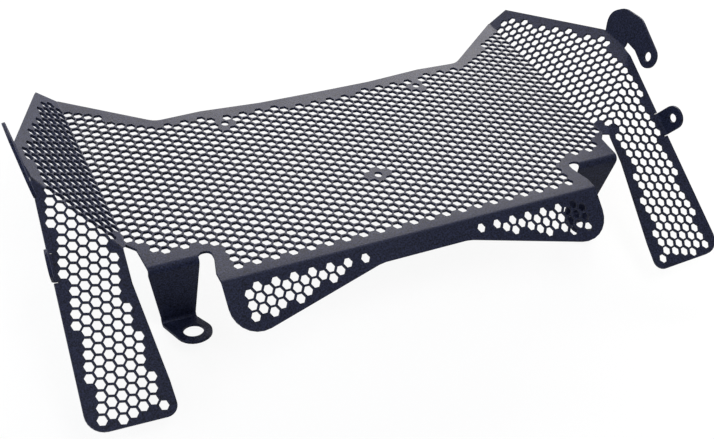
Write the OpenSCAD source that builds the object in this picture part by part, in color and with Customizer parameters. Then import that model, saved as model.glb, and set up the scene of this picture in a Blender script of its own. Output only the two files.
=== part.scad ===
/* [Sheet] */
// Thickness of the aluminium sheet
sheet_t = 2; // [1:0.5:3]
// Inside radius of every fold
fold_r = 2; // [1:0.5:3.5]

/* [Perforation] */
// Distance between the centres of neighbouring hexagonal holes
hole_pitch = 15; // [13:0.5:20]
// Width of a hexagonal hole across its flats
hole_flats = 12.4; // [8:0.2:12.4]
// Diameter of the three round holes in the main panel
land_hole_d = 5.5; // [3:0.5:7]
// Plain metal left between a round hole and the nearest hexagon
land_w = 3.2; // [1:0.2:6]
// Plain metal left along the top edge of the main panel
edge_w = 6.2; // [3:0.2:12]

/* [Main panel] */
// Distance from the middle of the guard to a wing fold
main_half_w = 179; // [177:1:185]
// Height of the middle of the top edge above the flange fold
mid_h = 166.4; // [150:0.2:175]
// Height of the shoulders beside the middle of the top edge
shoulder_h = 170.1; // [150:0.1:180]
// Distance from the middle of the guard to a shoulder
shoulder_x = 88; // [60:1:100]
// Height of the valley in the top edge
valley_h = 168.9; // [150:0.1:175]
// Distance from the middle of the guard to a valley
valley_x = 121.8; // [110:0.2:135]
// Radius of the valley
valley_r = 12; // [2:1:20]
// Height of the top corners of the main panel
corner_h = 213; // [195:1:230]
// Height of the round holes near the top edge
upper_hole_h = 150.8; // [140:0.2:152]
// Distance from the middle of the guard to an upper round hole
upper_hole_x = 76.6; // [60:0.2:90]
// Height of the round hole in the middle
mid_hole_h = 62; // [30:1:120]

/* [Wings] */
// Angle by which a wing folds forward out of the main panel
wing_angle = 38; // [15:1:60]
// Width of the top edge of a wing
wing_top_w = 18; // [10:1:30]
// Distance from the middle of the flat sheet to the outer edge of a wing
wing_half_w = 238; // [230:1:250]
// Height of the upper end of a wing's outer edge above the outer end of the leg's fold
wing_edge_rise = 33.1; // [31:0.1:45]
// Height of the point where a wing, its leg and the main panel part
notch_h = 51; // [48:1:60]

/* [Legs] */
// Angle by which a leg folds back out of its wing
leg_angle = 45; // [20:1:60]
// Slope of the fold between a wing and its leg
leg_fold_slope = 40.5; // [35:0.5:45]
// Height of the inner end of that fold
leg_fold_h = 47; // [40:1:47]
// Distance of the inner end of that fold from the wing fold
leg_fold_gap = 3.3; // [3:0.1:8]
// Distance of a leg's foot below the flange fold, measured in the flat sheet
leg_drop = 65; // [50:1:80]
// Width of a leg's foot
leg_foot_w = 54; // [45:1:58]
// Amount by which a leg's inner end stops short of its outer end
leg_foot_rise = 10; // [5:1:15]
// Radius of the outer corner of a leg's foot
leg_corner_r = 12; // [3:1:18]
// Radius of the inner corner of a leg's foot
leg_toe_r = 4; // [1:0.5:8]

/* [Lower flange] */
// Angle by which the lower flange folds back out of the main panel
flange_angle = 38; // [20:1:80]
// Distance from the middle of the guard to an end of the flange
flange_half_w = 136; // [125:1:139]
// Depth of the flange in its plain middle
flange_mid_h = 13; // [10:0.5:20]
// Distance from the middle of the guard to the start of a lobe
lobe_x = 32; // [20:1:50]
// Depth that a lobe would have at its sharp corner
lobe_h = 39.5; // [30:0.5:50]
// Radius of the corner of a lobe
lobe_r = 18; // [5:1:24]
// Depth of the first row of hexagons in the flange
lobe_row_h = 10.2; // [9:0.2:14]

/* [Lower brackets] */
// Angle by which a bracket folds back out of the main panel
bracket_angle = 95; // [80:1:98]
// Height of the bracket's fold above the flange fold
bracket_fold_h = 24.5; // [18:0.5:30]
// Distance from the middle of the guard to the inner side of a bracket
bracket_in_x = 141; // [140:1:150]
// Distance from the middle of the guard to the outer side of a bracket
bracket_out_x = 173; // [168:1:176]
// Length of the bracket between its two folds
bracket_l = 51; // [30:1:54]
// Amount by which a bracket narrows on its inner side
bracket_in_taper = 1.2; // [0:0.2:6]
// Amount by which a bracket narrows on its outer side
bracket_out_taper = 8.3; // [0:0.1:10]
// Angle by which the foot of the bracket folds forward again
foot_angle = 105; // [85:1:110]
// Distance from the foot's fold to the centre of its hole
foot_hole_y = 17; // [15:0.2:24]
// Distance from the middle of the guard to the centre of the foot's hole
foot_hole_x = 149.2; // [145:0.1:156]
// Diameter of the hole in the foot, which takes a rubber grommet
foot_hole_d = 13; // [8:0.5:15]
// Width of metal around the foot's hole
foot_rim = 5.5; // [4:0.5:8]
// Angle by which the foot leans towards the middle of the guard
foot_lean = 17.2; // [0:0.2:20]
// Width of the relief slot between the bracket and the flange
slot_w = 8.6; // [5:0.2:10]
// Depth of the relief slot above the bracket's fold
slot_rise = 4.5; // [3:0.5:8]
// Radius of the corners of the relief slot
slot_r = 3.6; // [1:0.1:4]

/* [Hook ears] */
// Angle by which a hook ear folds forward out of its wing
hook_angle = 38; // [20:1:60]
// Width of the hook ear at its fold
hook_base_w = 24.5; // [20:0.5:30]
// Distance by which the ear stands out from its fold
hook_reach = 25; // [20:1:32]
// Distance from the upper end of the fold to the hole, along the fold
hook_hole_y = 49.2; // [45:0.2:60]
// Distance from the fold to the hole
hook_hole_x = 5.7; // [5:0.1:12]
// Diameter of the hole in the hook ear
hook_hole_d = 7; // [5:0.5:9]
// Width of metal around the hole of the hook ear
hook_rim = 5; // [3:0.5:7]
// Slope of the arm of the hook ear towards its fold
hook_slope = 24.4; // [15:0.2:30]

/* [Side tabs] */
// Angle by which a side tab folds forward out of its leg
tab_angle = 77; // [45:1:100]
// Distance from the top of the leg's outer edge to the side tab
tab_start = 50; // [40:1:80]
// Width of the side tab
tab_w = 17.4; // [14:0.2:24]
// Distance by which the end of the side tab leans down along its leg
tab_lean = 0.6; // [0:0.1:2]
// Distance from the fold to the hole of the side tab
tab_hole_y = 12.3; // [10:0.1:18]
// Diameter of the hole in the side tab
tab_hole_d = 6.5; // [4:0.5:8]

/* [Hidden] */

// Radius of the middle of the sheet in a fold
bend_r = fold_r + sheet_t / 2;
// Radius of the corners of a hexagonal hole
hole_r = hole_flats / sqrt(3);
column_w = hole_pitch * sqrt(3) / 2;
sheet_color = [0.07, 0.075, 0.1];
arc_step = 15;
round_fn = 24;
// More than the length of any fold
beyond = 1000;
// Relief at the ends of the slanting leg folds
leg_relief = 1.2;
// Thinning of the sheet on each side of a fold, where it is stretched
fold_thin = 0.03;
// Width by which a fold is drawn in at each of its ends
fold_neck = 0.1;
// Length by which a panel runs on into the strip of its fold
grip = 0.2;
// Cut beside the folds of the tabs and ears, which stops the sheet from tearing
fold_cut = 0.6;

// Directions of the folds, each with the piece that it carries on its left
wing_dir = -90;
leg_dir = 180 + leg_fold_slope;
flange_dir = 180;

// Places in the flat sheet, on the right of its middle
leg_fold_run = [cos(leg_fold_slope), sin(leg_fold_slope)];
leg_fold_in = [main_half_w + leg_fold_gap, leg_fold_h];
leg_top_x = wing_half_w - 2.5;
leg_fold_l = (leg_top_x - leg_fold_in.x) / leg_fold_run.x;
leg_fold_out = leg_fold_in + leg_fold_l * leg_fold_run;
leg_outer = [leg_top_x - 27.2, -leg_drop];
leg_inner = leg_outer + [-leg_foot_w, leg_foot_rise];
leg_edge_run = (leg_outer - leg_fold_out) / norm(leg_outer - leg_fold_out);
leg_edge_dir = atan2(leg_edge_run.y, leg_edge_run.x);
tab_at = seen(leg_fold_out + tab_start * leg_edge_run, leg_fold_in, leg_dir);
tab_dir = leg_edge_dir - leg_dir;
bracket_w = bracket_out_x - bracket_in_x;
foot_w = bracket_w - bracket_in_taper - bracket_out_taper;
slot_in_x = bracket_in_x - slot_w;
foot_hole = [bracket_out_x - bracket_out_taper - foot_hole_x, foot_hole_y];
wing_edge_h = leg_fold_out.y + wing_edge_rise;
hook_base_h = wing_edge_h - hook_base_w;

// The part of a half of the flat sheet that the hexagons stay in
field = [[-hole_r - 1, mid_h - edge_w], [shoulder_x / 2, mid_h - edge_w], [shoulder_x, shoulder_h - edge_w],
  [valley_x + 2, valley_h - edge_w], [main_half_w + 1, corner_h - edge_w],
  [main_half_w + wing_top_w - 2, corner_h - edge_w], [wing_half_w - 3, wing_edge_h - 3.3],
  [wing_half_w - 9.8, wing_edge_h - 61.5],
  [leg_outer.x - 5, 3 - leg_drop], [leg_inner.x + 4.8, leg_inner.y + 2.7],
  [leg_fold_in.x - 1, leg_fold_h - 19.4], leg_fold_in + [3.2, 3.7], [main_half_w + 0.6, notch_h + 1.2],
  [bracket_out_x, notch_h - 2], [bracket_out_x - 6.8, bracket_fold_h + 10.5],
  [slot_in_x + 1.3, bracket_fold_h + 9.5], [slot_in_x - 5, bracket_fold_h + 5.2],
  [slot_in_x - 5, 6], [-hole_r - 1, 6]];
// The part of a half of the lower flange that the hexagons stay in
lobe_field = [[lobe_x + 2, -3.5], [flange_half_w - 8, -3.5], [flange_half_w - 8, 5.1 - lobe_h],
  [lobe_x + 2, 2.7 - flange_mid_h]];
// Centres of the round holes in the main panel
land_holes = [[0, mid_hole_h], [upper_hole_x, upper_hole_h], [-upper_hole_x, upper_hole_h]];

// Total of a list of numbers
function total(v, i = 0) = i < len(v) ? v[i] + total(v, i + 1) : 0;

// True where point p lies inside the outline given by pts
function inside(p, pts) = total([for (i = [0 : len(pts) - 1]) let (a = pts[i], b = pts[(i + 1) % len(pts)])
  ((a.y > p.y) != (b.y > p.y)) && p.x < (b.x - a.x) * (p.y - a.y) / (b.y - a.y) + a.x ? 1 : 0]) % 2 == 1;

// Corners of the hexagon around point p
function hexagon(p, r) = [for (a = [0 : 60 : 300]) p + r * [cos(a), sin(a)]];

// True where the whole hexagon around point p lies inside the outline
function whole(p, pts) = min([for (q = hexagon(p, hole_r)) inside(q, pts) ? 1 : 0]) == 1;

// Distance of a fold's edge from the line where the two panels would meet
function setback(angle) = bend_r * tan(angle / 2);

// Distance from that line at which a panel ends
function reach(angle) = setback(angle) - grip;

// Distance from point p to the line through a that runs at an angle
function off_line(p, a, dir) = abs((p.x - a.x) * sin(dir) - (p.y - a.y) * cos(dir));

// Place of point p as seen from a fold through a that runs at an angle
function seen(p, a, dir) = let (q = [p.x - a.x, p.y - a.y])
  [q.x * cos(dir) + q.y * sin(dir), q.y * cos(dir) - q.x * sin(dir)];

// Length of the side from b to a that the arc at b may take up
function room(a, b) = norm([a.x - b.x, a.y - b.y]) * (a.z > 0 ? 0.49 : 0.98);

// Outline whose corners, each given as x, y and a radius, are rounded by arcs as far as its sides allow
function rounded(pts) = [for (i = [0 : len(pts) - 1])
  let (a = pts[(i + len(pts) - 1) % len(pts)], b = pts[i], c = pts[(i + 1) % len(pts)],
    u = [a.x - b.x, a.y - b.y] / norm([a.x - b.x, a.y - b.y]),
    v = [c.x - b.x, c.y - b.y] / norm([c.x - b.x, c.y - b.y]), half = acos(u * v) / 2,
    r = min(b.z, min(room(a, b), room(c, b)) * tan(half)))
  each r == 0 ? [[b.x, b.y]] :
    let (mid = [b.x, b.y] + r / sin(half) * (u + v) / norm(u + v), turn = sign(u.x * v.y - u.y * v.x),
      first = [b.x, b.y] + r / tan(half) * u - mid, sweep = 180 - 2 * half, n = ceil(sweep / arc_step))
    [for (k = [0 : n]) let (t = -turn * sweep * k / n)
      mid + [first.x * cos(t) - first.y * sin(t), first.x * sin(t) + first.y * cos(t)]]];

// Place in space of a point of the flat sheet beyond a fold through a that runs at an angle
function folded(p, a, dir, angle) = let (q = [p.x - a.x, p.y - a.y, p.z],
    along = q.x * cos(dir) + q.y * sin(dir), off = -q.x * sin(dir) + q.y * cos(dir),
    out = off * cos(angle) - q.z * sin(angle))
  [a.x + along * cos(dir) - out * sin(dir), a.y + along * sin(dir) + out * cos(dir),
    off * sin(angle) + q.z * cos(angle)];

leg_outline = rounded([[leg_fold_in.x, leg_fold_in.y, 0], [leg_fold_out.x, leg_fold_out.y, 0],
  [leg_outer.x, leg_outer.y, leg_corner_r], [leg_inner.x, leg_inner.y, leg_toe_r],
  [leg_inner.x + 5, leg_inner.y + 20, 0], [leg_fold_in.x - 4.3, leg_fold_in.y - 22, 0]]);

// Centre of the round of a bracket's lower fold, seen from the side
foot_bend = let (v = [0, bracket_l - setback(foot_angle), bend_r])
  [bracket_fold_h - v.y * cos(bracket_angle) + v.z * sin(bracket_angle),
    -v.y * sin(bracket_angle) - v.z * cos(bracket_angle)];
foot_bend_r = fold_r + sheet_t - fold_thin;

// The guard rests on the top corners of its main panel and on the lowest of its brackets and legs
leg_points = [for (p = leg_outline, z = [-sheet_t / 2, sheet_t / 2])
  folded(folded([p.x, p.y, z], leg_fold_in, leg_dir, -leg_angle), [main_half_w, 0], wing_dir, wing_angle)];
rest_corner = [corner_h, -sheet_t / 2];
rest_tilt = max(concat([for (q = leg_points) atan2(rest_corner.y - q.z, rest_corner.x - q.y)],
  [let (d = rest_corner - foot_bend) atan2(d.y, d.x) + asin(foot_bend_r / norm(d))]));
rest_lift = rest_corner.x * sin(rest_tilt) - rest_corner.y * cos(rest_tilt);

// Depth of a point of the folded sheet in the resting guard
function rest_depth(q) = q.y * cos(rest_tilt) + q.z * sin(rest_tilt);
wing_points = [for (z = [-sheet_t / 2, sheet_t / 2])
  folded([main_half_w + wing_top_w, corner_h, z], [main_half_w, 0], wing_dir, wing_angle)];
rest_y = (max([for (q = wing_points) rest_depth(q)]) + min([for (q = leg_points) rest_depth(q)])) / 2;

module place(a, dir) {
  translate([a.x, a.y, 0]) rotate([0, 0, dir]) children();
}

// Turns its children about a fold through a, from which they are drawn
module turned(a, dir, angle) {
  place(a, dir) rotate([angle, 0, 0]) children();
}

// Turns its children, drawn in the flat sheet, about the fold through a
module fold(a, dir, angle) {
  turned(a, dir, angle) rotate([0, 0, -dir]) translate([-a.x, -a.y, 0]) children();
}

// The curved strip of a fold through a, from start to start + l along it
module bend(a, dir, start, l, angle) {
  place(a, dir) mirror([0, 0, angle < 0 ? 1 : 0])
    translate([start + fold_neck, -setback(abs(angle)), bend_r]) rotate([0, 90, 0])
    rotate_extrude(angle = abs(angle), $fn = round_fn) translate([fold_r + fold_thin, 0])
    square([sheet_t - 2 * fold_thin, l - 2 * fold_neck]);
}

// The side of a fold that is turned, without the strip that the fold takes up
module far_side(angle) {
  translate([-beyond / 2, reach(angle)]) square(beyond);
}

// The side of a fold that is turned, with the strip that the fold takes up
module cut_off(a, dir, angle) {
  place(a, dir) translate([-beyond / 2, -reach(angle)]) square(beyond);
}

module flat() {
  translate([0, 0, -sheet_t / 2]) linear_extrude(sheet_t) children();
}

module hexagons(centres, turn = 0) {
  for (p = centres) translate(p) rotate(turn) circle(r = hole_r, $fn = 6);
}

// Centres of the hexagons of the flat sheet between two columns
function lattice(first, last) = [for (c = [first : last], k = [-8 : 16])
  [c * column_w, hole_pitch * (k + (abs(c) % 2) / 2)]];

// True where a hexagon clears the folds beside it and the round holes
function clear_of(p) = off_line(p, [main_half_w, 0], 90) > hole_r + setback(wing_angle) + 0.8
  && (p.x < main_half_w || off_line(p, leg_fold_in, leg_fold_slope) > hole_r + setback(leg_angle) + 0.5)
  && min([for (h = land_holes) norm(p - h)]) > hole_r + land_hole_d / 2 + land_w;

half_centres = [for (p = lattice(0, 20)) if (whole(p, field) && clear_of(p)) p];
main_centres = [for (p = half_centres) if (p.x < main_half_w) each p.x > 1 ? [p, [-p.x, p.y]] : [p]];
wing_centres = [for (p = half_centres) if (p.x > main_half_w) p];
lobe_centres = [for (c = [1 : 12], k = [0 : 2])
  let (p = [c * column_w, -lobe_row_h - hole_pitch * (k + (c + 1) % 2 / 2)]) if (whole(p, lobe_field))
  each [p, [-p.x, p.y]]];

function above_leg_fold(p) = (p.y - leg_fold_in.y) * leg_fold_run.x > (p.x - leg_fold_in.x) * leg_fold_run.y;

half_outline = [[0, mid_h, 0], [shoulder_x / 2, mid_h + 0.3, 0], [shoulder_x, shoulder_h, 0],
  [valley_x, valley_h, valley_r], [main_half_w - setback(wing_angle), corner_h, 0],
  [main_half_w, corner_h, 0], [main_half_w, notch_h, 0],
  [bracket_out_x + 1, notch_h - 6, 3], [bracket_out_x, bracket_fold_h, 0], [bracket_in_x, bracket_fold_h, 0],
  [bracket_in_x, bracket_fold_h + slot_rise, slot_r], [slot_in_x, bracket_fold_h + slot_rise, slot_r],
  [slot_in_x, bracket_fold_h - 2.5, 0], [flange_half_w, 9, 0], [flange_half_w, 0, 0]];

function mirrored(pts) = [for (i = [len(pts) - 1 : -1 : 0]) [-pts[i].x, pts[i].y, pts[i].z]];

module main_panel() {
  flat() difference() {
    polygon(rounded(concat(half_outline, [for (p = mirrored(half_outline)) if (p.x < 0) p])));
    for (side = [0, 1]) mirror([side, 0, 0]) {
      cut_off([main_half_w, 0], wing_dir, wing_angle);
      place([bracket_out_x, bracket_fold_h], flange_dir) translate([-slot_w, -reach(bracket_angle)])
        square([slot_w + bracket_w + slot_w / 2, 2 * setback(bracket_angle)]);
    }
    cut_off([0, 0], flange_dir, flange_angle);
    for (p = land_holes) translate(p) circle(d = land_hole_d, $fn = round_fn);
    hexagons(main_centres);
  }
}

module wing_panel() {
  flat() difference() {
    intersection() {
      polygon([[main_half_w, corner_h], [main_half_w + wing_top_w, corner_h], [wing_half_w, wing_edge_h],
        [wing_half_w, hook_base_h], leg_fold_out, leg_fold_in, [main_half_w, notch_h]]);
      place([main_half_w, 0], wing_dir) far_side(wing_angle);
    }
    cut_off(leg_fold_in, leg_dir, leg_angle);
    place([wing_half_w, wing_edge_h], wing_dir) translate([-fold_cut, -reach(hook_angle)])
      square([hook_base_w + 2 * fold_cut, 2 * setback(hook_angle)]);
    hexagons([for (p = wing_centres) if (above_leg_fold(p)) p]);
  }
}

// The leg, drawn from its fold
module leg_panel() {
  flat() difference() {
    intersection() {
      polygon([for (p = leg_outline) seen(p, leg_fold_in, leg_dir)]);
      far_side(leg_angle);
    }
    place(tab_at, tab_dir) translate([-fold_cut, -reach(tab_angle)])
      square([tab_w + 2 * fold_cut, 2 * setback(tab_angle)]);
    hexagons([for (p = wing_centres) if (!above_leg_fold(p)) seen(p, leg_fold_in, leg_dir)], -leg_dir);
  }
}

// The side tab, drawn from its fold
module side_tab() {
  end_r = tab_w / 2 - 0.1;
  flat() difference() {
    polygon(rounded([[0, reach(tab_angle), 0], [tab_w, reach(tab_angle), 0],
      [tab_w + tab_lean, tab_hole_y + end_r, end_r - 0.3], [tab_lean, tab_hole_y + end_r, end_r - 0.3]]));
    translate([tab_w / 2 + tab_lean, tab_hole_y]) circle(d = tab_hole_d, $fn = round_fn);
  }
}

// The hook ear, drawn from its fold, with the arm running down along it
module hook_ear() {
  start = reach(hook_angle);
  hole = [hook_hole_y, hook_hole_x];
  end_r = hook_hole_d / 2 + hook_rim;
  run = [cos(hook_slope), -sin(hook_slope)];
  out = [sin(hook_slope), cos(hook_slope)];
  outer = hole + end_r * (run + out);
  inner = hole + end_r * (run - out);
  flat() difference() {
    polygon(rounded([[0, start, 0], [-5, hook_reach * 0.54, 12], [8.5, hook_reach - 1, 13],
      [28, hook_reach + 0.5, 15], [outer.x, outer.y, end_r - 0.1], [inner.x, inner.y, end_r - 0.1],
      [hook_base_w + 11, 3, 3], [hook_base_w, 4.2, 0], [hook_base_w, start, 0]]));
    translate(hole) circle(d = hook_hole_d, $fn = round_fn);
  }
}

// The foot of a bracket, drawn from its fold
module bracket_foot() {
  start = reach(foot_angle);
  end_r = foot_hole_d / 2 + foot_rim;
  run = [sin(foot_lean), cos(foot_lean)];
  out = [-cos(foot_lean), sin(foot_lean)];
  outer = foot_hole + end_r * (run + out);
  inner = foot_hole + end_r * (run - out);
  flat() difference() {
    polygon(rounded([[0, start, 0], [outer.x, outer.y, end_r - 0.1], [inner.x, inner.y, end_r - 0.1],
      [foot_w, start, 0]]));
    translate(foot_hole) circle(d = foot_hole_d, $fn = round_fn);
  }
}

// A bracket, drawn from its fold, with its foot
module lower_bracket() {
  start = reach(bracket_angle);
  end = bracket_l - reach(foot_angle);
  at = [bracket_out_taper, bracket_l];
  flat() polygon([[0, start], [bracket_w, start], [at.x + foot_w, end], [at.x, end]]);
  bend(at, 0, 0, foot_w, foot_angle);
  turned(at, 0, foot_angle) bracket_foot();
}

module lower_flange() {
  top = -reach(flange_angle);
  half = [[lobe_x, -flange_mid_h, 20], [flange_half_w, -lobe_h, lobe_r], [flange_half_w, top, 0]];
  bend([flange_half_w, 0], flange_dir, 0, 2 * flange_half_w, -flange_angle);
  fold([0, 0], flange_dir, -flange_angle) flat() difference() {
    polygon(rounded(concat(half, mirrored(half))));
    hexagons(lobe_centres);
  }
}

module side_pieces() {
  bend([main_half_w, corner_h], wing_dir, 0, corner_h - notch_h, wing_angle);
  fold([main_half_w, 0], wing_dir, wing_angle) {
    wing_panel();
    bend([wing_half_w, wing_edge_h], wing_dir, 0, hook_base_w, hook_angle);
    turned([wing_half_w, wing_edge_h], wing_dir, hook_angle) hook_ear();
    bend(leg_fold_in, leg_dir, leg_relief - leg_fold_l, leg_fold_l - 2 * leg_relief, -leg_angle);
    turned(leg_fold_in, leg_dir, -leg_angle) {
      leg_panel();
      bend(tab_at, tab_dir, 0, tab_w, tab_angle);
      turned(tab_at, tab_dir, tab_angle) side_tab();
    }
  }
  bend([bracket_out_x, bracket_fold_h], flange_dir, 0, bracket_w, -bracket_angle);
  turned([bracket_out_x, bracket_fold_h], flange_dir, -bracket_angle) lower_bracket();
}

module guard() {
  color(sheet_color) translate([0, -rest_y, rest_lift]) rotate([-rest_tilt, 0, 0]) {
    main_panel();
    lower_flange();
    side_pieces();
    mirror([1, 0, 0]) side_pieces();
  }
}

guard();
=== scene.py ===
# %% [markdown]
# The object is a guard that bolts in front of a motorcycle's radiator. It is cut and punched from
# one flat aluminium sheet, folded along a few straight lines, and coated with a fine-textured
# black powder. This lesson makes it the way the workshop does: it draws the flat sheet with its
# hexagons first, and folds the finished mesh afterwards. A grid of booleans on a folded plate would
# be slow and would leave ragged triangles where a hole crosses a fold.

# %% Load the frame
import math

import bmesh
import bpy
from mathutils import Matrix, Vector
from mathutils.geometry import delaunay_2d_cdt


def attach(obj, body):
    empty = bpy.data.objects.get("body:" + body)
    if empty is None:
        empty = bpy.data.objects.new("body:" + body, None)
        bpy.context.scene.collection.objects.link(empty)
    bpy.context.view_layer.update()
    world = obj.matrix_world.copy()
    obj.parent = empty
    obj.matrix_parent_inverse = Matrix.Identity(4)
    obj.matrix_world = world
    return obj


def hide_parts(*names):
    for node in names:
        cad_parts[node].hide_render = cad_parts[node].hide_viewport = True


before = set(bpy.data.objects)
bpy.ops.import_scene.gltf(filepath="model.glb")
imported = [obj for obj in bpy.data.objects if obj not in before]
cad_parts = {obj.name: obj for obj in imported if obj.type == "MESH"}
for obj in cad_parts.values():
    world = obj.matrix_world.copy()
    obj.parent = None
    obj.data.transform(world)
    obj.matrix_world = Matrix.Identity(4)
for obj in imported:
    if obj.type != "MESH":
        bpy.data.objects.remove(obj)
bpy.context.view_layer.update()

# %% [markdown]
# The drawing of the flat sheet is in millimetres, as a workshop drawing is, and x runs from the
# middle of the guard while y is the height above the fold of the lower flange. Only one half is
# drawn, because the guard is symmetric. Every fold has the same inside radius, so each one takes
# up a strip whose half width depends on its angle alone.

# %% Sheet, units and folds
MM = 0.001
SHEET = 2.0
CHAMFER = 0.12
INSIDE_RADIUS = 2.0
BEND_RADIUS = INSIDE_RADIUS + SHEET / 2

# Main panel, wing and the foot of the hook ear
MAIN_HALF_W = 179.0
CORNER_H = 213.0
NOTCH_H = 51.0
WING_HALF_W = 238.0
WING_EDGE_H = 125.54
HOOK_BASE_W = 24.5

# Leg: the slope and the two ends of its fold, and the two corners of its foot
LEG_SLOPE = 40.5
LEG_FOLD_IN = (182.3, 47.0)
LEG_FOLD_OUT = (235.5, 92.44)
LEG_OUTER = (208.3, -65.0)
LEG_INNER = (154.3, -55.0)

# Bracket, and the side tab along the outer edge of the leg
BRACKET_IN_X = 141.0
BRACKET_OUT_X = 173.0
BRACKET_FOLD_H = 24.5
BRACKET_REACH = 51.0
FOOT_OUT_X = 164.7
TAB_START = 50.0
TAB_W = 17.4


def setback(angle):
    """Half the width of the strip of the drawing that a fold takes up."""
    return BEND_RADIUS * math.tan(math.radians(abs(angle)) / 2)


def heading_of(start, end):
    """Direction from one point of the drawing to another, in degrees."""
    return math.degrees(math.atan2(end[1] - start[1], end[0] - start[0]))


def along_line(start, heading, distance, offset=0.0):
    """Point at a distance along a line and an offset to its left."""
    turn = math.radians(heading)
    return (start[0] + distance * math.cos(turn) - offset * math.sin(turn),
            start[1] + distance * math.sin(turn) + offset * math.cos(turn))


LEG_EDGE = heading_of(LEG_FOLD_OUT, LEG_OUTER)
TAB_AT = along_line(LEG_FOLD_OUT, LEG_EDGE, TAB_START)

# Each fold is a point on its line, the line's direction and the angle, positive towards the front.
# The flap that it turns lies on the left of the line.
WING_FOLD = ((MAIN_HALF_W, 0.0), -90.0, 38.0)
HOOK_FOLD = ((WING_HALF_W, WING_EDGE_H), -90.0, 38.0)
LEG_FOLD = (LEG_FOLD_IN, 180.0 + LEG_SLOPE, -45.0)
TAB_FOLD = (TAB_AT, LEG_EDGE, 77.0)
FLANGE_FOLD = ((0.0, 0.0), 180.0, -38.0)
BRACKET_FOLD = ((BRACKET_OUT_X, BRACKET_FOLD_H), 180.0, -95.0)
FOOT_FOLD = ((FOOT_OUT_X, BRACKET_FOLD_H - BRACKET_REACH), 180.0, 105.0)
print("strips taken by the folds", [round(2 * setback(fold[2]), 2) for fold in
                                    (WING_FOLD, LEG_FOLD, FLANGE_FOLD, BRACKET_FOLD, FOOT_FOLD)])

# %% [markdown]
# Outlines of sheet-metal parts are straight lines joined by arcs. Each corner below is written as
# x, y and a radius, and one helper turns such a list into a fine outline. This is shorter than a
# list of arc points, and a corner can be moved without redrawing its arc. An arc never takes more
# than its share of an edge, so two arcs can't overlap where a flap is narrow.

# %% Rounded outlines
ARC_STEP = 15.0
SHARED_EDGE = 0.49
WHOLE_EDGE = 0.98


def rounded(corners):
    """Points of a closed outline whose corners are rounded by arcs."""
    points = []
    for i, (x, y, radius) in enumerate(corners):
        before, here = Vector(corners[i - 1][:2]), Vector((x, y))
        after = Vector(corners[(i + 1) % len(corners)][:2])
        if radius == 0:
            points.append((x, y))
            continue
        first, second = (before - here).normalized(), (after - here).normalized()
        half = math.acos(max(-1.0, min(1.0, first.dot(second)))) / 2
        room = []
        for there, step_on in ((before, -1), (after, 1)):
            next_is_round = corners[(i + step_on) % len(corners)][2] > 0
            room.append((there - here).length * (SHARED_EDGE if next_is_round else WHOLE_EDGE))
        radius = min(radius, min(room) * math.tan(half))
        centre = here + (first + second).normalized() * radius / math.sin(half)
        spoke = here + first * radius / math.tan(half) - centre
        sweep = math.pi - 2 * half
        turn = -1 if first.x * second.y - first.y * second.x > 0 else 1
        count = math.ceil(math.degrees(sweep) / ARC_STEP)
        for k in range(count + 1):
            swung = Matrix.Rotation(turn * sweep * k / count, 2) @ spoke
            points.append(tuple(centre + swung))
    return points


def from_fold(fold, corners):
    """Corners drawn from a fold, as distance along it and away from it, placed in the drawing."""
    start, heading, _ = fold
    return [(*along_line(start, heading, along, away), radius) for along, away, radius in corners]


print("a corner of 12 mm has", len(rounded([(0, 0, 0), (50, 0, 12), (50, 50, 0)])) - 2, "points")

# %% [markdown]
# The hook ear and the side tab carry the fixing holes. The ear reaches down from the wing's edge
# as a bent arm, and the tab is a short tongue on the leg's edge. Both end in an arc round their
# hole, so they are drawn from the line of their own fold, where the hole's place is easy to
# measure. Narrow relief cuts stand at both ends of the tab, where the press needs them.

# %% Ear and side tab
RELIEF = 0.7
TAB_LEAN = 0.6
ARC_SLACK = 0.1
TAB_END_R = TAB_W / 2 - ARC_SLACK
CUT_DEPTH = 0.3

# Round holes as seen from the fold of their flap, each with its radius
HOOK_HOLE = (49.2, 5.7, 3.5)
TAB_HOLE = (TAB_W / 2 + TAB_LEAN, 12.3, 3.25)
FOOT_HOLE = (15.5, 17.0, 6.5)


def round_end(hole, radius, heading):
    """The two corners of a flap's rounded end round a hole, for an arm that runs at an angle."""
    turn = math.radians(heading)
    run = Vector((math.cos(turn), math.sin(turn)))
    out = Vector((-run.y, run.x))
    return [(*(Vector(hole[:2]) + radius * (run + way * out)), radius - ARC_SLACK)
            for way in (1, -1)]


hook_corners = from_fold(HOOK_FOLD, [
    (-5.0, 13.5, 12), (8.5, 24.0, 13), (28.0, 25.5, 15), *round_end(HOOK_HOLE, 8.5, -24.4),
    (HOOK_BASE_W + 11, 3.0, 3), (HOOK_BASE_W, 4.2, 0), (HOOK_BASE_W, -setback(HOOK_FOLD[2]), 0)])
tab_step = setback(TAB_FOLD[2])
tab_end = TAB_HOLE[1] + TAB_END_R
tab_round = TAB_END_R - CUT_DEPTH
cut_end = -tab_step - CUT_DEPTH
tab_corners = from_fold(TAB_FOLD, [
    (-RELIEF, 0, 0), (-RELIEF, cut_end, 0), (0, cut_end, 0), (0, tab_step, 0),
    (TAB_LEAN, tab_end, tab_round), (TAB_W + TAB_LEAN, tab_end, tab_round),
    (TAB_W, tab_step, 0), (TAB_W, cut_end, 0), (TAB_W + RELIEF, cut_end, 0),
    (TAB_W + RELIEF, 0, 0)])
print("corners of an ear", len(hook_corners), "and of a tab", len(tab_corners))

# %% [markdown]
# The outline of the right half starts in the middle of the top edge and runs clockwise: the wavy
# top edge, the wing, the hook ear, the leg with its side tab, the notch, the bracket and the lower
# flange. One half is enough, and its mirror image closes the outline, so both sides always match.

# %% Outline of the guard
SEAM_H = BRACKET_FOLD_H - setback(BRACKET_FOLD[2]) - 1.0
SLOT_IN_X = 132.4
SLOT_TOP_H = 29.0
MID_TOP_H = 166.4

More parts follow.
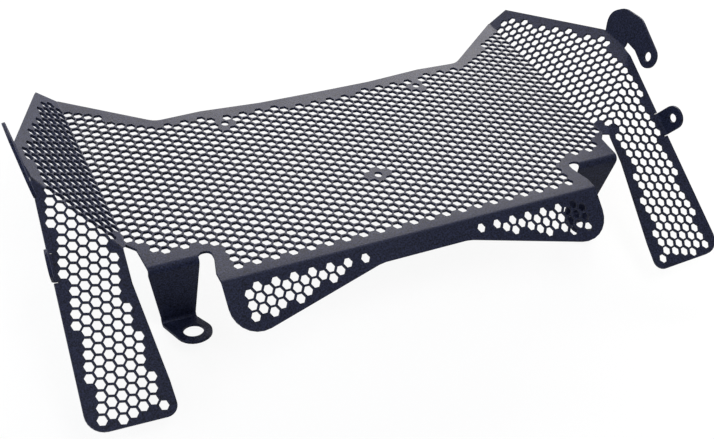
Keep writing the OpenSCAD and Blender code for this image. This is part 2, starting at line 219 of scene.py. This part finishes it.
half_outline = rounded([
    (-44.0, 166.7, 0), (44.0, 166.7, 0), (88.0, 170.1, 0), (121.8, 168.9, 12),
    (MAIN_HALF_W - setback(WING_FOLD[2]), CORNER_H, 0), (197.0, CORNER_H, 0),
    (WING_HALF_W, WING_EDGE_H, 0), *hook_corners, (*LEG_FOLD_OUT, 0), *tab_corners,
    (*LEG_OUTER, 12), (*LEG_INNER, 7), (LEG_INNER[0] + 5, LEG_INNER[1] + 20, 0),
    (LEG_FOLD_IN[0] - 4.3, LEG_FOLD_IN[1] - 22, 0), (*LEG_FOLD_IN, 0), (MAIN_HALF_W, NOTCH_H, 0),
    (BRACKET_OUT_X + 1, NOTCH_H - 6, 3), (BRACKET_OUT_X, BRACKET_FOLD_H, 0),
    (BRACKET_OUT_X, SEAM_H, 0), (BRACKET_IN_X, SEAM_H, 0), (BRACKET_IN_X, SLOT_TOP_H, 3.6),
    (SLOT_IN_X, SLOT_TOP_H, 3.6), (SLOT_IN_X, 22.0, 0), (136.0, 9.0, 0), (136.0, -39.5, 18),
    (32.0, -13.0, 20), (-32.0, -13.0, 0)])[1:-1]
guard_outline = [(0.0, MID_TOP_H), *half_outline, *[(-x, y) for x, y in reversed(half_outline)]]
print("points of the guard's outline", len(guard_outline))

# %% [markdown]
# A bracket is a web that folds straight down behind the panel and ends in a foot with a large
# hole. Folded flat it would run under the leg, and one outline may not cross itself. So the
# bracket below its fold is a second outline, which joins the first on a seam.

# %% Outline of a bracket
FOOT_IN_X = 142.2

foot_step = setback(FOOT_FOLD[2])
foot_w = FOOT_OUT_X - FOOT_IN_X
web = [(0, BRACKET_FOLD_H - SEAM_H, 0), (0, BRACKET_FOLD_H - SEAM_H + 1, 0)]
bracket_outline = rounded([
    *from_fold(BRACKET_FOLD, web),
    *from_fold(FOOT_FOLD, [
        (0, -foot_step, 0), (0, foot_step, 0), *round_end(FOOT_HOLE, 12.0, 72.8),
        (foot_w, foot_step, 0), (foot_w, -foot_step, 0)]),
    (BRACKET_IN_X, SEAM_H - 1, 0), (BRACKET_IN_X, SEAM_H, 0)])
print("points of a bracket's outline", len(bracket_outline))

# %% [markdown]
# The punch leaves hexagons 5.7 mm across their flats on a 7 mm lattice, in columns that run up the
# sheet. A hexagon is punched wherever it has room inside a field that keeps a border to the
# edges, also where it crosses a fold. Three round holes stand in the lattice, and the hexagons
# next to them are left out. Counting by a rule keeps the pattern right when a border is changed.

# %% Hexagons
PITCH = 7.0
HEX_FLATS = 5.7
HEX_RADIUS = HEX_FLATS / math.sqrt(3)
HEX_MARGIN = 0.06
COLUMN_W = PITCH * math.sqrt(3) / 2
LATTICE_H = 59.15

# More columns and rows than the sheet has room for
COLUMNS = range(0, 40)
ROWS = range(-20, 24)

# Round holes, and a spot beside the notch that stays plain, each as x, y and radius
ROUND_HOLES = ((0.0, 62.0, 2.75), (76.6, 150.8, 2.75), (-76.6, 150.8, 2.75))
NOTCH_PLAIN = (181.3, 55.0, 4.9)

main_field = [
    (-5.0, 159.8), (34.0, 160.05), (89.0, 163.7), (123.8, 163.7), (180.0, 206.9), (195.0, 206.9),
    (235.0, 122.2), (233.9, 112.0), (228.2, 64.0), (204.3, -62.0), (202.3, -63.1), (159.1, -53.05),
    (181.7, 27.6), (185.5, 50.7), (179.6, 52.2), (173.0, 49.0), (166.2, 35.0), (133.7, 34.0),
    (127.4, 29.7), (127.4, 6.0), (-5.0, 6.0)]
flange_field = [(34.0, -3.5), (128.0, -3.5), (128.0, -34.4), (34.0, -10.3)]


def ring(centre, radius, count, turn=0.0):
    """A regular polygon round a point."""
    return [(centre[0] + radius * math.cos(math.radians(turn + 360 * k / count)),
             centre[1] + radius * math.sin(math.radians(turn + 360 * k / count)))
            for k in range(count)]


def inside(point, outline):
    """True where a point lies inside an outline."""
    hit = False
    for (ax, ay), (bx, by) in zip(outline, outline[1:] + outline[:1]):
        if (ay > point[1]) != (by > point[1]):
            hit ^= point[0] < (bx - ax) * (point[1] - ay) / (by - ay) + ax
    return hit


def punched(centre):
    """True where the punch makes a hexagon."""
    x, y = centre
    plain = [(hx, hy, PITCH) for hx, hy, _ in ROUND_HOLES] + [NOTCH_PLAIN]
    if any(math.hypot(x - px, y - py) < reach for px, py, reach in plain):
        return False
    corners = ring(centre, HEX_RADIUS + HEX_MARGIN, 6)
    return any(all(inside(corner, field) for corner in corners)
               for field in (main_field, flange_field))


hexagon_centres = []
for column in COLUMNS:
    for row in ROWS:
        centre = (column * COLUMN_W, LATTICE_H + PITCH * (row + column % 2 / 2))
        if punched(centre):
            hexagon_centres.append(centre)
            if column:
                hexagon_centres.append((-centre[0], centre[1]))
print("hexagons", len(hexagon_centres))

# %% [markdown]
# Punched edges are never knife sharp, because the coating rounds them by about a tenth of a
# millimetre. An inset of each outline marks where that small chamfer starts, and lets the rims
# catch the light. Creases are lines across the strip of a fold, a few degrees apart, so that the
# flat triangles can follow its curve.

# %% Insets and creases
CREASE_STEP = 9.5
STRAIGHT = 1e-4


def doubled_area(outline):
    """Twice the area of an outline, positive if it runs anticlockwise."""
    return sum(ax * by - bx * ay
               for (ax, ay), (bx, by) in zip(outline, outline[1:] + outline[:1]))


def inset(outline, depth, seam):
    """An outline moved inwards, except along its seam."""
    side = 1 if doubled_area(outline) > 0 else -1
    moved = []
    for i, here in enumerate(outline):
        a, b, c = outline[i - 1], here, outline[(i + 1) % len(outline)]
        lines = []
        for p, q in ((a, b), (b, c)):
            run = (Vector(q) - Vector(p)).normalized()
            lines.append((-side * run.y, side * run.x, 0.0 if seam(p, q) else depth))
        (ax, ay, ad), (bx, by, bd) = lines
        cross = ax * by - ay * bx
        if abs(cross) < STRAIGHT:
            moved.append((b[0] + ax * ad, b[1] + ay * ad))
        else:
            moved.append((b[0] + (ad * by - bd * ay) / cross, b[1] + (ax * bd - bx * ad) / cross))
    return moved


def crease(fold, begin, end):
    """Lines across a fold's strip, so that the mesh can follow its curve."""
    start, heading, angle = fold
    count = math.ceil(abs(angle) / CREASE_STEP)
    half = setback(angle)
    return [(along_line(start, heading, begin, half * (2 * k / count - 1)),
             along_line(start, heading, end, half * (2 * k / count - 1))) for k in range(count + 1)]


print("creases of a wing's fold", len(crease(WING_FOLD, 0, 1)))

# %% [markdown]
# The flat drawing becomes triangles in one step: a constrained Delaunay triangulation keeps every
# outline, every hexagon and every crease as edges, and cuts them where they cross. Each hole has
# two rings, its own and the inset one. Edges with a triangle on one side only are free: they are
# the rims, where the two faces of the sheet are joined later.

# %% Flat pattern to triangles
MERGE_WITHIN = 1e-5


def triangulate(outline, holes, lines, seam):
    """Points, triangles and free edges of a flat pattern."""
    points, edges, faces = [], [], []

    def add_loop(loop, as_face):
        if doubled_area(loop) < 0:
            loop = loop[::-1]
        first = len(points)
        points.extend(Vector(p) for p in loop)
        ids = list(range(first, first + len(loop)))
        edges.extend(zip(ids, ids[1:] + ids[:1]))
        if as_face:
            faces.append(ids)

    add_loop(outline, True)
    add_loop(inset(outline, CHAMFER, seam), False)
    for centre, radius, count in holes:
        add_loop(ring(centre, radius, count), True)
        add_loop(ring(centre, radius + CHAMFER / math.cos(math.pi / count), count), False)
    for a, b in lines:
        points.extend((Vector(a), Vector(b)))
        edges.append((len(points) - 2, len(points) - 1))
    flat, _, triangles, _, _, sources = delaunay_2d_cdt(
        points, edges, faces, 0, MERGE_WITHIN)
    kept = [tri for tri, source in zip(triangles, sources) if list(source) == [0]]
    borders = {}
    for tri in kept:
        for a, b in zip(tri, (*tri[1:], tri[0])):
            borders[(a, b)] = True
    free = [(a, b) for a, b in borders if (b, a) not in borders and not seam(flat[a], flat[b])]
    return flat, kept, free


square = [(0, 0), (9, 0), (9, 9), (0, 9)]
print("a plain square has", len(triangulate(square, [], [], lambda a, b: False)[1]), "triangles")

# %% [markdown]
# A fold turns everything on the left of its line. Points inside its strip go round the arc, points
# beyond it turn with the flap, and the rest stays. Because this works on single points, holes that
# cross a fold bend with the metal around them, as they do in the press. A leg turns about its own
# fold first and then, with its wing, about the wing's fold. A few lines of the drawing tell which
# flap a point belongs to.

# %% Folding
WING_FROM_X = 176.5
LEG_FROM_X = 145.0
LEG_BELOW_H = 20.0
EAR_ABOVE_H = 60.0
EAR_BESIDE_LEG = 0.2
BRACKET_FROM_X = BRACKET_IN_X - 2
BRACKET_BELOW_H = 40.0
ON_EDGE = 0.01


def split(point, fold):
    """A point seen from a fold: its distance along the fold and away from it."""
    start, heading, _ = fold
    turn = math.radians(heading)
    x, y = point.x - start[0], point.y - start[1]
    return x * math.cos(turn) + y * math.sin(turn), y * math.cos(turn) - x * math.sin(turn)


def bend(point, fold, rigid=False):
    """A point after a fold is made; a rigid flap turns as a whole, without the strip."""
    start, heading, angle = fold
    along, away = split(point, fold)
    half = setback(angle)
    side = 1 if angle > 0 else -1
    if rigid or away >= half:
        swing = math.radians(angle)
        out = away * math.cos(swing) - point.z * math.sin(swing)
        up = away * math.sin(swing) + point.z * math.cos(swing)
    elif away <= -half:
        return point
    else:
        swing = math.radians(abs(angle)) * (away + half) / (2 * half)
        radius = BEND_RADIUS - side * point.z
        out = radius * math.sin(swing) - half
        up = side * (BEND_RADIUS - radius * math.cos(swing))
    return Vector((*along_line(start, heading, along, out), up))


def fold_guard(point):
    """A point of the right half of the guard in its folded place, seen from the main panel."""
    if point.x > (WING_FROM_X if point.y > LEG_BELOW_H else LEG_FROM_X):
        along, away = split(point, TAB_FOLD)
        past_wing = point.x > WING_HALF_W - setback(HOOK_FOLD[2]) or away > EAR_BESIDE_LEG
        if point.y > EAR_ABOVE_H and past_wing:
            arm = point.y < WING_EDGE_H - HOOK_BASE_W - ON_EDGE
            return bend(bend(point, HOOK_FOLD, rigid=arm), WING_FOLD)
        if split(point, LEG_FOLD)[1] > -setback(LEG_FOLD[2]):
            if away > tab_step or -ON_EDGE < along < TAB_W + ON_EDGE:
                point = bend(point, TAB_FOLD)
            return bend(bend(point, LEG_FOLD), WING_FOLD, rigid=True)
        return bend(point, WING_FOLD)
    if point.x > BRACKET_FROM_X and point.y < BRACKET_BELOW_H:
        return bend(point, BRACKET_FOLD)
    return bend(point, FLANGE_FOLD if point.y < LEG_BELOW_H else WING_FOLD)


def fold_bracket(point):
    """A point of the right bracket below its seam in its folded place."""
    return bend(bend(point, FOOT_FOLD), BRACKET_FOLD, rigid=True)


print("the top of a wing comes to", [round(value, 1) for value in
                                     fold_guard(Vector((197.0, CORNER_H, 0.0)))])

# %% [markdown]
# The folded guard lies on the top corners of its main panel and on the lower folds of its two
# brackets, so the main panel slopes gently. The drawing's frame is tilted and lifted into that
# pose by one matrix, and the camera, which was found in the drawing's frame, uses the same matrix.

# %% Resting pose
REST_TILT = math.radians(15.35)
REST_LIFT = 57.3486
REST_BACK = 76.6962
to_rest = (Matrix.Scale(MM, 4) @ Matrix.Translation((0, -REST_BACK, REST_LIFT))
           @ Matrix.Rotation(-REST_TILT, 4, "X"))
print("main panel slopes by", round(math.degrees(REST_TILT), 2), "degrees")

# %% [markdown]
# The sheet gets its thickness and its folds together. Every point of the flat pattern is placed
# twice, once on each face, and both are folded, so the faces stay 2 mm apart round every bend. The
# rims of the holes and of the outline then join the two faces. A solidify modifier would thicken
# the folded sheet too, but it leaves uneven walls where holes cross a fold.

# %% Sheet of full thickness


def on_seam(a, b):
    """True for an edge of the drawing where a bracket continues the guard's outline."""
    return all(abs(p[1] - SEAM_H) < STRAIGHT and BRACKET_IN_X - 1 < abs(p[0]) < BRACKET_OUT_X + 1
               for p in (a, b))


def both_sides(spots):
    """Spots of the right half with their mirror images."""
    return [(side * x, y, *rest) for side in (1, -1) for x, y, *rest in spots]


def add_sheet(bm, pattern, fold):
    """Adds a flat pattern to the mesh as a sheet of full thickness, folded and at rest."""
    flat, triangles, free = pattern
    rim = {index for edge in free for index in edge}
    faces = {}
    for side in (1, -1):
        for index in {index for tri in triangles for index in tri}:
            spot = flat[index]
            height = SHEET / 2 - (CHAMFER if index in rim else 0)
            x, y, z = fold(Vector((abs(spot.x), spot.y, side * height)))
            faces[index, side] = bm.verts.new(to_rest @ Vector((x if spot.x > 0 else -x, y, z)))
    for a, b, c in triangles:
        bm.faces.new((faces[a, 1], faces[b, 1], faces[c, 1]))
        bm.faces.new((faces[c, -1], faces[b, -1], faces[a, -1]))
    for a, b in free:
        bm.faces.new((faces[b, 1], faces[a, 1], faces[a, -1], faces[b, -1]))


print("a hole on both sides", both_sides([(ROUND_HOLES[1][0], ROUND_HOLES[1][1])]))

# %% [markdown]
# The holes and the creases of the whole guard are collected from their own rules, and the two
# brackets are added as sheets of their own. Their seams meet point on point, so one merge welds
# the three sheets into a closed surface. The count of open edges proves that it is closed.

# %% Build the folded sheet
WELD_WITHIN = 2e-6
HOLE_SIDES = 24
FOOT_HOLE_SIDES = 32

flap_holes = [(*along_line(fold[0], fold[1], *hole[:2]), hole[2])
              for fold, hole in ((HOOK_FOLD, HOOK_HOLE), (TAB_FOLD, TAB_HOLE))]
guard_holes = [(centre, HEX_RADIUS, 6) for centre in hexagon_centres]
guard_holes += [((x, y), radius, HOLE_SIDES)
                for x, y, radius in (*ROUND_HOLES, *both_sides(flap_holes))]

# Creases run a little past the metal at both ends, or stop inside a relief cut
right_creases = [
    *crease(WING_FOLD, -CORNER_H - 1, -NOTCH_H + 2.5), *crease(HOOK_FOLD, -3, HOOK_BASE_W + 0.3),
    *crease(LEG_FOLD, -72, 1.5), *crease(TAB_FOLD, -0.3, TAB_W + 0.3),
    *crease(BRACKET_FOLD, -1.5, BRACKET_OUT_X - BRACKET_IN_X + 1)]
guard_creases = crease(FLANGE_FOLD, -137, 137) + right_creases
guard_creases += [((-ax, ay), (-bx, by)) for (ax, ay), (bx, by) in right_creases]

sheet = bmesh.new()
add_sheet(sheet, triangulate(guard_outline, guard_holes, guard_creases, on_seam), fold_guard)
foot_hole = (*along_line(FOOT_FOLD[0], FOOT_FOLD[1], *FOOT_HOLE[:2]), FOOT_HOLE[2])
for side in (1, -1):
    outline = [(side * x, y) for x, y in bracket_outline]
    creases = [((side * ax, ay), (side * bx, by))
               for (ax, ay), (bx, by) in crease(FOOT_FOLD, -1, foot_w + 1)]
    hole = ((side * foot_hole[0], foot_hole[1]), foot_hole[2], FOOT_HOLE_SIDES)
    add_sheet(sheet, triangulate(outline, [hole], creases, on_seam), fold_bracket)
bmesh.ops.remove_doubles(sheet, verts=sheet.verts, dist=WELD_WITHIN)
print("faces", len(sheet.faces), "open edges", sum(not edge.is_manifold for edge in sheet.edges))

# %% [markdown]
# The finished mesh becomes the one visible piece of the guard. It rides on the frame's only body
# and replaces the plain solid, whose holes are coarser. Panels are shaded smooth, and edges of
# more than 25 degrees stay sharp, so that folds look round and rims look cut.

# %% Guard as one piece
SHARP_FROM = 25.0

mesh = bpy.data.meshes.new("guard_sheet")
sheet.to_mesh(mesh)
sheet.free()
for polygon in mesh.polygons:
    polygon.use_smooth = True
mesh.set_sharp_from_angle(angle=math.radians(SHARP_FROM))
guard = bpy.data.objects.new("guard_sheet", mesh)
bpy.context.scene.collection.objects.link(guard)
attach(guard, "root")
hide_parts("guard")
print("piece", guard.name, "with", len(mesh.vertices), "points")

# %% [markdown]
# A fine-textured powder coat is a thin polyester skin with tiny even bumps. Two noises describe it:
# a fine one of about a millimetre for the bumps, and a cloud of some centimetres, as coats vary
# from one spray pass to the next. They are in a node group, so that another coated piece could
# use the same texture with its own scales. An image of a coat would show its seams and repeats.

# %% Texture of the coat
GRAIN_SCALE = 1000.0
CLOUD_SCALE = 14.0


def coat_group():
    """Node group of a sprayed coat: how much pigment shows, and the height of its fine bumps."""
    group = bpy.data.node_groups.new("coat_texture", "ShaderNodeTree")
    for name, value in (("Grain Scale", GRAIN_SCALE), ("Cloud Scale", CLOUD_SCALE)):
        socket = group.interface.new_socket(name, in_out="INPUT", socket_type="NodeSocketFloat")
        socket.default_value = value
    for name in ("Speckle", "Cloud", "Height"):
        group.interface.new_socket(name, in_out="OUTPUT", socket_type="NodeSocketFloat")
    nodes, links = group.nodes, group.links
    enter, leave = nodes.new("NodeGroupInput"), nodes.new("NodeGroupOutput")
    place = nodes.new("ShaderNodeTexCoord")
    for output, scale, detail in (("Speckle", "Grain Scale", 2.0), ("Cloud", "Cloud Scale", 3.0)):
        noise = nodes.new("ShaderNodeTexNoise")
        noise.inputs["Detail"].default_value = detail
        links.new(place.outputs["Object"], noise.inputs["Vector"])
        links.new(enter.outputs[scale], noise.inputs["Scale"])
        links.new(noise.outputs["Fac"], leave.inputs[output])
        if output == "Speckle":
            links.new(noise.outputs["Fac"], leave.inputs["Height"])
    return group


coat_texture = coat_group()
print("coat texture puts out", [item.name for item in coat_texture.interface.items_tree
                                if item.in_out == "OUTPUT"])

# %% [markdown]
# Close up the coat is nearly black with a touch of blue, and its bumps spread the light of the room
# into a soft grey sheen. The fine noise mixes a deep and a paler black and lifts the bumps, and
# the cloud shifts the gloss a little. The specular level is low, because a rough powder scatters
# most of what a smooth lacquer would mirror.

# %% Powder coat
COAT_DEEP = (0.0005, 0.001, 0.003, 1.0)
COAT_PALE = (0.020, 0.024, 0.054, 1.0)
NOISE_RANGE = (0.3, 0.7)
COAT_ROUGHNESS = (0.46, 0.54)
COAT_SPECULAR = 0.07
BUMP_STRENGTH = 0.5
BUMP_HEIGHT = 0.2 * MM


def powder_coat():
    """Material of the fine-textured black coat."""
    material = bpy.data.materials.new("powder_coat")
    material.use_nodes = True
    nodes, links = material.node_tree.nodes, material.node_tree.links
    shader = nodes["Principled BSDF"]
    coat = nodes.new("ShaderNodeGroup")
    coat.node_tree = coat_texture

    def spread(source, low, high):
        node = nodes.new("ShaderNodeMapRange")
        for name, value in zip(("From Min", "From Max", "To Min", "To Max"),
                               (*NOISE_RANGE, low, high)):
            node.inputs[name].default_value = value
        links.new(coat.outputs[source], node.inputs["Value"])
        return node.outputs["Result"]

    tint = nodes.new("ShaderNodeMix")
    tint.data_type = "RGBA"
    tint.inputs["A"].default_value = COAT_DEEP
    tint.inputs["B"].default_value = COAT_PALE
    links.new(spread("Speckle", 0.0, 1.0), tint.inputs["Factor"])
    links.new(tint.outputs["Result"], shader.inputs["Base Color"])
    links.new(spread("Cloud", *COAT_ROUGHNESS), shader.inputs["Roughness"])
    shader.inputs["Specular IOR Level"].default_value = COAT_SPECULAR
    bump = nodes.new("ShaderNodeBump")
    bump.inputs["Strength"].default_value = BUMP_STRENGTH
    bump.inputs["Distance"].default_value = BUMP_HEIGHT
    links.new(coat.outputs["Height"], bump.inputs["Height"])
    links.new(bump.outputs["Normal"], shader.inputs["Normal"])
    return material


mesh.materials.append(powder_coat())
print("material", mesh.materials[0].name, "on", len(mesh.polygons), "faces")

# %% [markdown]
# The photograph is a product picture on white. More light would make a floor white too, but it
# would also wash out the black coat. Light Path tells what kind of ray sees a surface, so the floor
# and the world glow for the camera and for rays that metal mirrors or glass lets through, and the
# light that falls on the guard stays plain.

# %% White for the camera


def seen_directly(nodes, links):
    """A value of 1 for rays of the camera, and for mirrored rays and those through glass."""
    rays = nodes.new("ShaderNodeLightPath")
    seen = rays.outputs["Is Camera Ray"]
    for kind in ("Is Glossy Ray", "Is Transmission Ray"):
        either = nodes.new("ShaderNodeMath")
        either.operation = "MAXIMUM"
        links.new(seen, either.inputs[0])
        links.new(rays.outputs[kind], either.inputs[1])
        seen = either.outputs["Value"]
    return seen


def bright_to_camera(material, share):
    """Makes a pale surface look white to the camera and to metal, and keeps its shadows."""
    nodes, links = material.node_tree.nodes, material.node_tree.links
    shader, output = nodes["Principled BSDF"], nodes["Material Output"]
    glow, part = nodes.new("ShaderNodeEmission"), nodes.new("ShaderNodeMath")
    part.operation = "MULTIPLY"
    part.inputs[1].default_value = share
    links.new(seen_directly(nodes, links), part.inputs[0])
    mix = nodes.new("ShaderNodeMixShader")
    links.new(part.outputs["Value"], mix.inputs["Fac"])
    links.new(shader.outputs["BSDF"], mix.inputs[1])
    links.new(glow.outputs["Emission"], mix.inputs[2])
    links.new(mix.outputs["Shader"], output.inputs["Surface"])


print("helpers for a white background:", seen_directly.__name__, "and", bright_to_camera.__name__)

# %% [markdown]
# The floor is one big pale square. A tenth of what the camera sees on it is its real, lit colour,
# which is enough to keep a faint shadow under the guard.

# %% Floor
FLOOR_REACH = 6.0
FLOOR_PAINT = (0.9, 0.9, 0.9, 1.0)
FLOOR_ROUGHNESS = 0.9
FLOOR_GLOW = 0.9

floor_mesh = bpy.data.meshes.new("floor")
floor_mesh.from_pydata([(x * FLOOR_REACH, y * FLOOR_REACH, 0)
                        for x, y in ((-1, -1), (1, -1), (1, 1), (-1, 1))], [], [(0, 1, 2, 3)])
floor = bpy.data.objects.new("floor", floor_mesh)
bpy.context.scene.collection.objects.link(floor)
floor_paint = bpy.data.materials.new("floor_paint")
floor_paint.use_nodes = True
floor_shader = floor_paint.node_tree.nodes["Principled BSDF"]
floor_shader.inputs["Base Color"].default_value = FLOOR_PAINT
floor_shader.inputs["Roughness"].default_value = FLOOR_ROUGHNESS
bright_to_camera(floor_paint, FLOOR_GLOW)
floor_mesh.materials.append(floor_paint)
print("floor", 2 * FLOOR_REACH, "m wide")

# %% [markdown]
# The world has two sides. As light it is a dark room, so that the lamps alone shape the guard. For
# the camera it is a pale sky of the floor's own shade, so that no horizon shows in low views.

# %% World
ROOM = (0.05, 0.05, 0.05, 1.0)
ROOM_STRENGTH = 0.1
SKY = (0.92, 0.92, 0.92, 1.0)

world = bpy.data.worlds.new("studio")
bpy.context.scene.world = world
world.use_nodes = True
nodes, links = world.node_tree.nodes, world.node_tree.links
room, sky = nodes["Background"], nodes.new("ShaderNodeBackground")
room.inputs["Color"].default_value = ROOM
room.inputs["Strength"].default_value = ROOM_STRENGTH
sky.inputs["Color"].default_value = SKY
sky.inputs["Strength"].default_value = 1.0
mix = nodes.new("ShaderNodeMixShader")
links.new(seen_directly(nodes, links), mix.inputs["Fac"])
links.new(room.outputs["Background"], mix.inputs[1])
links.new(sky.outputs["Background"], mix.inputs[2])
links.new(mix.outputs["Shader"], nodes["World Output"].inputs["Surface"])
print("world nodes", len(nodes))

# %% [markdown]
# Four soft lamps light the guard as softboxes do in a product studio. The strongest stands low
# behind it, so that its warm light glances off the main panel and draws the mesh in grey. A bluish
# one at the side and two weak ones above and in front lift the flaps that face the camera, which
# stay darker than the panel. One lamp alone would leave the brackets and lobes pure black.

# %% Lamps


def soft_lamp(name, place, target, size, power, color=(1.0, 1.0, 1.0)):
    """An area lamp of some width and height that points at a target."""
    light = bpy.data.lights.new(name, "AREA")
    light.shape = "RECTANGLE"
    light.size, light.size_y = size
    light.energy = power
    light.color = color
    lamp = bpy.data.objects.new(name, light)
    lamp.location = place
    lamp.rotation_euler = (Vector(target) - Vector(place)).to_track_quat("-Z", "Y").to_euler()
    bpy.context.scene.collection.objects.link(lamp)


GUARD_MIDDLE = (0, 0, 0.04)
PANEL_TOP = (0, 0.05, 0.04)
WARM = (1.0, 0.96, 0.9)
BLUISH = (0.75, 0.86, 1.0)
soft_lamp("back_softbox", (0.7, 1.4, 0.5), PANEL_TOP, (1.7, 0.6), 78, color=WARM)
soft_lamp("front_softbox", (-1.0, -0.6, 1.7), GUARD_MIDDLE, (1.2, 1.2), 6)
soft_lamp("side_softbox", (-1.5, -0.2, 0.6), GUARD_MIDDLE, (1.0, 0.8), 16, color=BLUISH)
soft_lamp("top_softbox", (0.3, -0.3, 1.6), GUARD_MIDDLE, (1.0, 1.0), 15)
print("lamps", [(light.name, round(light.energy)) for light in bpy.data.lights])

# %% [markdown]
# The camera was found by matching the lattice of the hexagons in the picture with the drawing, so
# it is described in the drawing's frame, in millimetres, and the resting matrix carries it into
# the room. Its optical axis goes through the middle of the picture, so the lens needs no shift.

# %% Camera
IMAGE_W = 714
FOCAL_PX = 1133.6
SENSOR_W = 36.0
camera_spot = Vector((-315.0, -460.1, 467.4))
camera_right = Vector((0.8964, -0.4345, 0.0881))
camera_forward = Vector((0.3851, 0.6647, -0.6402))

camera_data = bpy.data.cameras.new("camera")
camera_data.sensor_width = SENSOR_W
camera_data.lens = FOCAL_PX / IMAGE_W * SENSOR_W
camera = bpy.data.objects.new("camera", camera_data)
turn = to_rest.to_3x3().normalized()
back = -(turn @ camera_forward).normalized()
up = back.cross(turn @ camera_right).normalized()
axes = Matrix((up.cross(back), up, back)).transposed()
camera.matrix_world = Matrix.Translation(to_rest @ camera_spot) @ axes.to_4x4()
bpy.context.scene.collection.objects.link(camera)
bpy.context.scene.camera = camera
bpy.context.scene.view_settings.view_transform = "Standard"
print("camera at", [round(value, 3) for value in camera.location])
